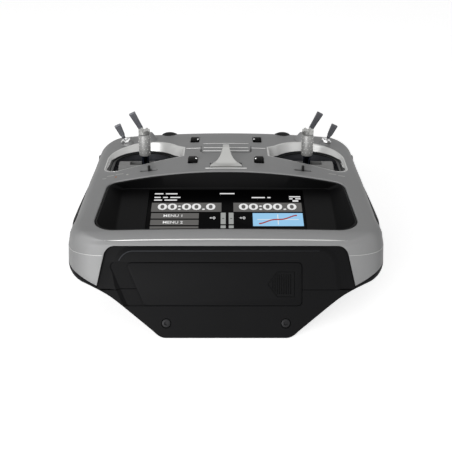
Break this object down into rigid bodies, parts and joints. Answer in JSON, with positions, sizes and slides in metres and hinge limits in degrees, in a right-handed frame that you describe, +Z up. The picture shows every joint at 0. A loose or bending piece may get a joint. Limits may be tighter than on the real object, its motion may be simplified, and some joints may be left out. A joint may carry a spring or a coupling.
{
  "type": "radio transmitter controller",
  "caption": "Hand-held radio control transmitter with two gimbal sticks, a sunken colour screen, toggle switches, trim levers, dials, a strap hook and a sliding battery cover.",
  "frame": {"origin": "on the flat rear face that the case rests on, on the middle plane", "axes": "+Z up out of the front face, +Y towards the far end with the switches, +X to the user's right"},
  "size_m": [0.1896, 0.176, 0.089],
  "materials": {
    "silver_paint": "satin silver paint on moulded plastic",
    "black_plastic": "fine-grained moulded black",
    "black_rubber": "textured moulded rubber",
    "bezel_plastic": "fine-grained moulded black",
    "screen_glass": "black-backed touch glass",
    "bright_steel": "bright nickel plate",
    "stick_alloy": "bead-blasted anodised",
    "lever_grey": "dark grey anodised",
    "circuit_board": "green solder mask",
    "cell_wrap": "shrink-wrapped cells"
  },
  "bodies": {
    "case": {"front_case": "silver_paint", "rear_case": "black_plastic", "rear_band": "black_plastic", "end_panel": "black_plastic", "screen_bezel": "bezel_plastic", "screen_glass": "screen_glass", "display_unit": "black_plastic", "centre_trim_board": "circuit_board", "left_trim_board": "circuit_board", "right_trim_board": "circuit_board", "strap_hook": "bright_steel", "battery_pack": "cell_wrap", "battery_tray": "black_plastic", "main_board": "circuit_board", "radio_unit": "bright_steel", "speaker": "black_plastic", "left_grip": "black_rubber", "left_gimbal_frame": "black_plastic", "left_long_switch": "bright_steel", "left_long_switch_nut": "bright_steel", "left_short_switch": "bright_steel", "left_short_switch_nut": "bright_steel", "left_dial_pot": "bright_steel", "left_end_screw": "bright_steel", "left_wing_screw": "bright_steel", "right_grip": "black_rubber", "right_gimbal_frame": "black_plastic", "right_long_switch": "bright_steel", "right_long_switch_nut": "bright_steel", "right_short_switch": "bright_steel", "right_short_switch_nut": "bright_steel", "right_dial_pot": "bright_steel", "right_end_screw": "bright_steel", "right_wing_screw": "bright_steel"},
    "left_drum": {"left_gimbal_drum": "lever_grey"},
    "left_stick": {"left_stick": "bright_steel", "left_stick_sleeve": "stick_alloy", "left_stick_tip": "stick_alloy"},
    "left_long_toggle": {"left_long_switch_lever": "lever_grey"},
    "left_short_toggle": {"left_short_switch_lever": "lever_grey"},
    "left_dial": {"left_dial": "black_plastic"},
    "left_side_lever": {"left_side_lever": "black_plastic"},
    "right_drum": {"right_gimbal_drum": "lever_grey"},
    "right_stick": {"right_stick": "bright_steel", "right_stick_sleeve": "stick_alloy", "right_stick_tip": "stick_alloy"},
    "right_long_toggle": {"right_long_switch_lever": "lever_grey"},
    "right_short_toggle": {"right_short_switch_lever": "lever_grey"},
    "right_dial": {"right_dial": "black_plastic"},
    "right_side_lever": {"right_side_lever": "black_plastic"},
    "left_lower_trim": {"left_lower_trim": "black_plastic"},
    "right_lower_trim": {"right_lower_trim": "black_plastic"},
    "left_upper_trim": {"left_upper_trim": "black_plastic"},
    "right_upper_trim": {"right_upper_trim": "black_plastic"},
    "left_stick_trim": {"left_stick_trim": "black_plastic"},
    "right_stick_trim": {"right_stick_trim": "black_plastic"},
    "battery_cover": {"battery_cover": "black_plastic"},
    "power_key": {"power_key": "silver_paint"}
  },
  "joints": [
    {"name": "left_stick_fore_aft", "type": "hinge", "parent": "case", "child": "left_drum", "pos_m": [-0.0556, 0.044, 0.047], "axis": [1, 0, 0], "range_deg": [-18, 18]},
    {"name": "left_stick_sideways", "type": "hinge", "parent": "left_drum", "child": "left_stick", "pos_m": [-0.0556, 0.044, 0.047], "axis": [0, 1, 0], "range_deg": [-18, 18], "stiffness_Nm_per_rad": 0.06},
    {"name": "left_long_toggle_tip", "type": "hinge", "parent": "case", "child": "left_long_toggle", "pos_m": [-0.05952, 0.076, 0.07305], "axis": [0.8829, 0, 0.4695], "range_deg": [-14, 14]},
    {"name": "left_short_toggle_tip", "type": "hinge", "parent": "case", "child": "left_short_toggle", "pos_m": [-0.07275, 0.071, 0.06997], "axis": [0.9135, 0, 0.4067], "range_deg": [-14, 14]},
    {"name": "left_dial_turn", "type": "hinge", "parent": "case", "child": "left_dial", "pos_m": [-0.0412, 0.0891, 0.06694], "axis": [0, 0.7071, 0.7071], "range_deg": [-140, 140]},
    {"name": "left_side_lever_swing", "type": "hinge", "parent": "case", "child": "left_side_lever", "pos_m": [-0.08927, 0.072, 0.046], "axis": [1, 0, 0], "range_deg": [-20, 20]},
    {"name": "right_stick_fore_aft", "type": "hinge", "parent": "case", "child": "right_drum", "pos_m": [0.0556, 0.044, 0.047], "axis": [1, 0, 0], "range_deg": [-18, 18], "stiffness_Nm_per_rad": 0.06},
    {"name": "right_stick_sideways", "type": "hinge", "parent": "right_drum", "child": "right_stick", "pos_m": [0.0556, 0.044, 0.047], "axis": [0, 1, 0], "range_deg": [-18, 18], "stiffness_Nm_per_rad": 0.06},
    {"name": "right_long_toggle_tip", "type": "hinge", "parent": "case", "child": "right_long_toggle", "pos_m": [0.05952, 0.076, 0.07305], "axis": [0.8829, 0, -0.4695], "range_deg": [-14, 14]},
    {"name": "right_short_toggle_tip", "type": "hinge", "parent": "case", "child": "right_short_toggle", "pos_m": [0.07275, 0.071, 0.06997], "axis": [0.9135, 0, -0.4067], "range_deg": [-14, 14]},
    {"name": "right_dial_turn", "type": "hinge", "parent": "case", "child": "right_dial", "pos_m": [0.0412, 0.0891, 0.06694], "axis": [0, 0.7071, 0.7071], "range_deg": [-140, 140]},
    {"name": "right_side_lever_swing", "type": "hinge", "parent": "case", "child": "right_side_lever", "pos_m": [0.08927, 0.072, 0.046], "axis": [1, 0, 0], "range_deg": [-20, 20]},
    {"name": "left_lower_trim_rock", "type": "hinge", "parent": "case", "child": "left_lower_trim", "pos_m": [-0.0222, 0.0298, 0.0638], "axis": [1, 0, 0], "range_deg": [-10, 10], "stiffness_Nm_per_rad": 0.003},
    {"name": "right_lower_trim_rock", "type": "hinge", "parent": "case", "child": "right_lower_trim", "pos_m": [0.0222, 0.0298, 0.0638], "axis": [1, 0, 0], "range_deg": [-10, 10], "stiffness_Nm_per_rad": 0.003},
    {"name": "left_upper_trim_rock", "type": "hinge", "parent": "case", "child": "left_upper_trim", "pos_m": [-0.0222, 0.0705, 0.0638], "axis": [1, 0, 0], "range_deg": [-10, 10], "stiffness_Nm_per_rad": 0.003},
    {"name": "right_upper_trim_rock", "type": "hinge", "parent": "case", "child": "right_upper_trim", "pos_m": [0.0222, 0.0705, 0.0638], "axis": [1, 0, 0], "range_deg": [-10, 10], "stiffness_Nm_per_rad": 0.003},
    {"name": "left_stick_trim_rock", "type": "hinge", "parent": "case", "child": "left_stick_trim", "pos_m": [-0.0505, 0.0168, 0.0614], "axis": [0, 1, 0], "range_deg": [-10, 10], "stiffness_Nm_per_rad": 0.003},
    {"name": "right_stick_trim_rock", "type": "hinge", "parent": "case", "child": "right_stick_trim", "pos_m": [0.0505, 0.0168, 0.0614], "axis": [0, 1, 0], "range_deg": [-10, 10], "stiffness_Nm_per_rad": 0.003},
    {"name": "battery_cover_slide", "type": "slide", "parent": "case", "child": "battery_cover", "axis": [-1, 0, 0], "range_m": [0, 0.008]},
    {"name": "power_key_press", "type": "slide", "parent": "case", "child": "power_key", "axis": [0, 0, -1], "range_m": [0, 0.001], "stiffness_N_per_m": 600}
  ]
}
